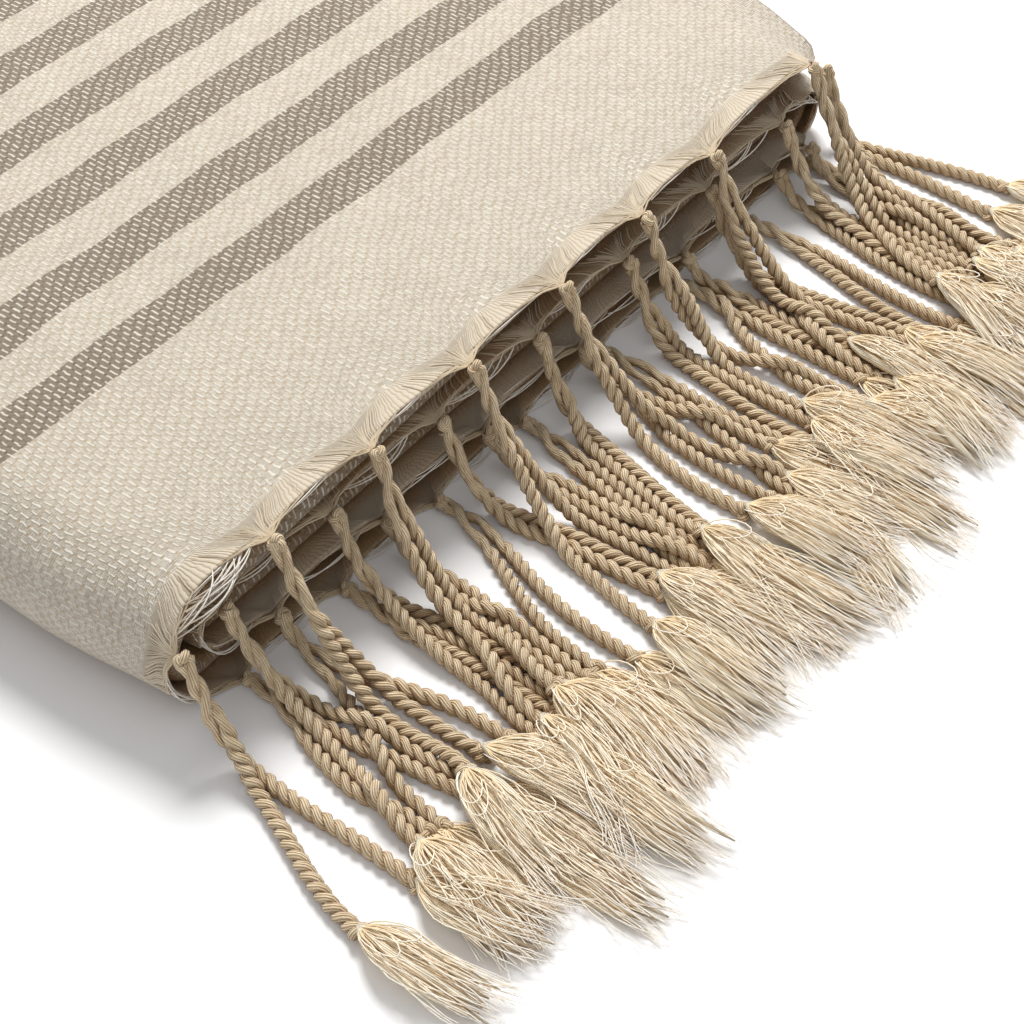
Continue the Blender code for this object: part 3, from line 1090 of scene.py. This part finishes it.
class Brush:
    """The size and lie of one brush."""

    def __init__(self, route, index):
        draw = self.draw = random.Random(3000 + index)
        ahead = route[-1] - route[-6]
        self.knot = route[-1]
        self.heading = math.atan2(ahead[1], ahead[0]) + draw.uniform(-0.26, 0.26)
        self.length = draw.uniform(*BRUSH_LENGTH)
        self.wide = BRUSH_HALF_WIDTH * draw.uniform(0.8, 1.25)
        self.tall = BRUSH_HALF_HEIGHT * draw.uniform(0.9, 1.3)
        self.lean = draw.uniform(-0.22, 0.22)
        self.pile = 0.0040 * smooth(route[0][2] / 0.028) * draw.uniform(0.3, 1.3)

    def path(self, out, across, up):
        """Points from the distance out, the distance across and the height."""
        path = np.empty((len(out), 3))
        path[:, 0] = self.knot[0] + out * math.cos(self.heading) - across * math.sin(self.heading)
        path[:, 1] = self.knot[1] + out * math.sin(self.heading) + across * math.cos(self.heading)
        fall = (self.knot[2] - BRUSH_MIDDLE) * (1.0 - out / self.length * 1.6)
        path[:, 2] = up + np.maximum(fall, 0.0)
        return path

    def lie(self, side, rise, out):
        """Across and up, for a place in the brush's section."""
        share = out / self.length
        open_up = 1.0 - np.exp(-out / OPENING)
        hump = self.pile * np.sin(np.clip(share * 1.15 + 0.25, 0.0, 1.0) * math.pi * 0.62)
        up = (BRUSH_MIDDLE + hump + rise * self.tall * open_up) * (1.0 - 0.75 * share ** 2)
        return side * self.wide * open_up + out * self.lean * share, up

    def yarns(self, count, points):
        paths = []
        draw = self.draw
        for _ in range(count):
            spin, reach = draw.uniform(0, 2 * math.pi), math.sqrt(draw.random())
            side, rise = reach * math.cos(spin), reach * math.sin(spin)
            rise = abs(rise) if draw.random() < 0.6 else rise
            out = self.length * draw.uniform(0.80, 1.0) * np.linspace(0.0, 1.0, points)
            across, up = self.lie(side, rise, out)
            across = across + out * draw.gauss(0.0, 0.05)
            across = across + draw.gauss(0.0, 0.0022) * (out / self.length) ** 3
            wave = 2 * math.pi / draw.uniform(0.009, 0.018)
            start, size = draw.uniform(0, 6.28), draw.uniform(0.0002, 0.0007)
            grow = np.minimum(out / 0.008, 1.0)
            across = across + size * grow * np.sin(wave * out + start)
            up = up + 0.8 * size * grow * np.cos(wave * 1.1 * out + start)
            paths.append(self.path(out, across, np.maximum(up, YARN + 0.00004)))
        return paths

    def locks(self, count, points):
        """Thick bodies of yarn inside the brush, which close its gaps."""
        paths = []
        for number in range(count):
            side = ((number + 0.5) / count * 2.0 - 1.0) * 0.74
            out = self.length * self.draw.uniform(0.72, 0.92) * np.linspace(0.0, 1.0, points)
            across, up = self.lie(side, self.draw.uniform(-0.45, 0.0), out)
            paths.append(self.path(out, across, np.maximum(up - 0.0002, LOCK * 0.9)))
        return paths

    def loop(self):
        """A yarn that turns back to the knot."""
        turned = self.draw.uniform(-0.5, 0.5)
        length, wide = self.draw.uniform(0.008, 0.014), self.draw.uniform(0.0012, 0.0028)
        high = 0.0024 + self.pile + self.draw.uniform(0.001, 0.0026)
        angle = np.linspace(0.0, 2.0 * math.pi, 15)
        out, across = length * (1 - np.cos(angle)) / 2, wide * np.sin(angle)
        turned_out = out * math.cos(turned) - across * math.sin(turned)
        across = out * math.sin(turned) + across * math.cos(turned)
        up = mix(BRUSH_MIDDLE, high, np.sin(angle / 2))
        return self.path(turned_out, across, np.maximum(up, 0.0006))


LOCK = 0.00115              # radius of a lock
BRUSH_YARNS = {FRONT: (41, 12, 7, 9), BACK: (18, 8, 5, 8)}      # yarns, points, locks, points


def make_brushes(end, name, members, loops):
    yarns, points = BRUSH_YARNS[end][:2]
    made = [Brush(routes[end][index], index) for index in members]
    paths = [path for brush in made for path in brush.yarns(yarns, points)]
    paths += [brush.loop() for brush in made for _ in range(loops)]
    return link_tubes(name, paths, YARN, taper=(1.2, 1.1, 1.0, 0.95, 0.6))


def make_locks(end):
    locks, points = BRUSH_YARNS[end][2:]
    made = [Brush(route, index) for index, route in enumerate(routes[end])]
    paths = [path for brush in made for path in brush.locks(locks, points)]
    return link_tubes("brush_bodies_" + end, paths, LOCK, sides=6, taper=(0.6, 1.0, 1.0, 0.8, 0.15))


brushes = [make_brushes(FRONT, "brushes_front_outer", range(KNOTS), 2)]
brushes.append(make_brushes(FRONT, "brushes_front_inner", range(KNOTS, 2 * KNOTS), 1))
brushes.append(make_brushes(BACK, "brushes_back", range(2 * KNOTS), 0))
bodies = {end: make_locks(end) for end in (FRONT, BACK)}

# %% [markdown]
# ## Cotton yarn finishes
# A strand shows the fine yarns that it is made of as slanting ridges, so its finish reads the
# tube's own UV map: one number along, one around. Shade is painted into the grooves between those
# yarns, and warm brown shade into the hollows between strands, because cotton lets some light
# through. The brushes go from tan at the knot to nearly white at the tips.

# %% Finishes for strands, brushes and edge yarns
def ridged_yarn(name, light, groove_shade_and_tone, hollow_shade, ridges, slant, depth):
    """Fine yarns that run slanting along a tube, with painted shade in their grooves and hollows."""
    made = Finish(name, 0.85, 0.25)
    along, around = made.place()
    ridge = (around * ridges + along * slant).ridge()
    patchy = made.step(made.cloud(made.object_place(), 420.0, 2.0), 0.3, 0.7, 0.60, 1.0)
    # Painted shade in the grooves between the fine yarns, with random darker patches.
    colour = made.blend(made.step(ridge, 0.0, 0.75, 0.25, 1.0) * patchy, groove_shade_and_tone, light)
    # Painted shade, warm brown, in the hollows between strands and other yarn.
    colour = made.blend(made.step(made.hollow(0.007), 0.12, 0.90), hollow_shade, colour)
    return made.finish(colour, ridge, depth)


def brushed_yarn(name, root, middle, tip, hollow_shade):
    """Loose yarn: its colour changes from the knot to the combed tip; shade is painted into its
    hollows.
    """
    made = Finish(name, 0.8, 0.3)
    along = made.place()[0]
    colour = made.blend(made.step(along, 0.0, 0.35), root, middle)
    colour = made.blend(made.step(along, 0.5, 1.0), colour, tip)
    patchy = made.step(made.cloud(made.object_place(), 260.0, 2.0), 0.25, 0.75, 0.85, 1.0)
    # Painted shade in hollows, found by ambient occlusion, with random darker patches.
    colour = made.blend(patchy * made.step(made.hollow(0.004), 0.05, 0.70), hollow_shade, colour)
    return made.finish(colour, made.cloud(made.object_place(), 2500.0, 1.0), 0.0001)


# Dark colours: painted shade in grooves between fine yarns, and random patches. Deep: painted shade in
# hollows.
CORD_LIGHT, CORD_GROOVE_SHADE_AND_TONE, CORD_HOLLOW_SHADE = (0.86, 0.70, 0.475), (0.46, 0.285, 0.13), (0.36, 0.195, 0.065)
EDGE_PALE, EDGE_WARM, EDGE_HOLLOW_SHADE = (0.61, 0.53, 0.405), (0.57, 0.465, 0.32), (0.32, 0.195, 0.09)
BRUSH_ROOT, BRUSH_PALE, BRUSH_TIP = (0.86, 0.70, 0.45), (0.98, 0.92, 0.77), (0.99, 0.98, 0.95)
BRUSH_HOLLOW_SHADE, BODY_GROOVE_SHADE_AND_TONE, WEFT_PALE = (0.84, 0.63, 0.37), (0.92, 0.77, 0.52), (0.86, 0.83, 0.76)
strand_cotton = ridged_yarn("strand_cotton", CORD_LIGHT, CORD_GROOVE_SHADE_AND_TONE, CORD_HOLLOW_SHADE, 11.0, 26.0, 0.00028)
knot_cotton = ridged_yarn("knot_cotton", CORD_LIGHT, CORD_GROOVE_SHADE_AND_TONE, CORD_HOLLOW_SHADE, 10.0, 4.0, 0.00028)
body_cotton = ridged_yarn("body_cotton", BRUSH_PALE, BODY_GROOVE_SHADE_AND_TONE, BRUSH_HOLLOW_SHADE, 16.0, 1.2, 0.00022)
edge_cotton = brushed_yarn("edge_cotton", EDGE_PALE, EDGE_PALE, EDGE_WARM, EDGE_HOLLOW_SHADE)
weft_cotton = brushed_yarn("weft_cotton", WEFT_PALE, WEFT_PALE, EDGE_PALE, EDGE_HOLLOW_SHADE)
brush_cotton = brushed_yarn("brush_cotton", BRUSH_ROOT, BRUSH_PALE, BRUSH_TIP, BRUSH_HOLLOW_SHADE)

# %% Finishes and bodies of the fringe
front_pieces = [fans[FRONT], loose_weft, cords[FRONT], knot_pieces[FRONT], *brushes[:2], bodies[FRONT]]
back_pieces = [fans[BACK], cords[BACK], knot_pieces[BACK], brushes[2], bodies[BACK]]
dressed = (
    (strand_cotton, list(cords.values())),
    (knot_cotton, list(knot_pieces.values())),
    (edge_cotton, list(fans.values())),
    (weft_cotton, [loose_weft]),
    (brush_cotton, brushes),
    (body_cotton, list(bodies.values())),
)
for finish, pieces in dressed:
    for piece in pieces:
        piece.data.materials.clear()
        piece.data.materials.append(finish)
for node, pieces in (("fringe_front", front_pieces), ("fringe_back", back_pieces)):
    for piece in pieces:
        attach(piece, "root")
        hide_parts(node)

# %% [markdown]
# ## Size at the end
# The finished towel must fill the same box as the solids that it stands for, so both boxes are
# written down before the lesson ends.

# %% Boxes, and the end
finished_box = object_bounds()
show_box("finished towel:", finished_box)
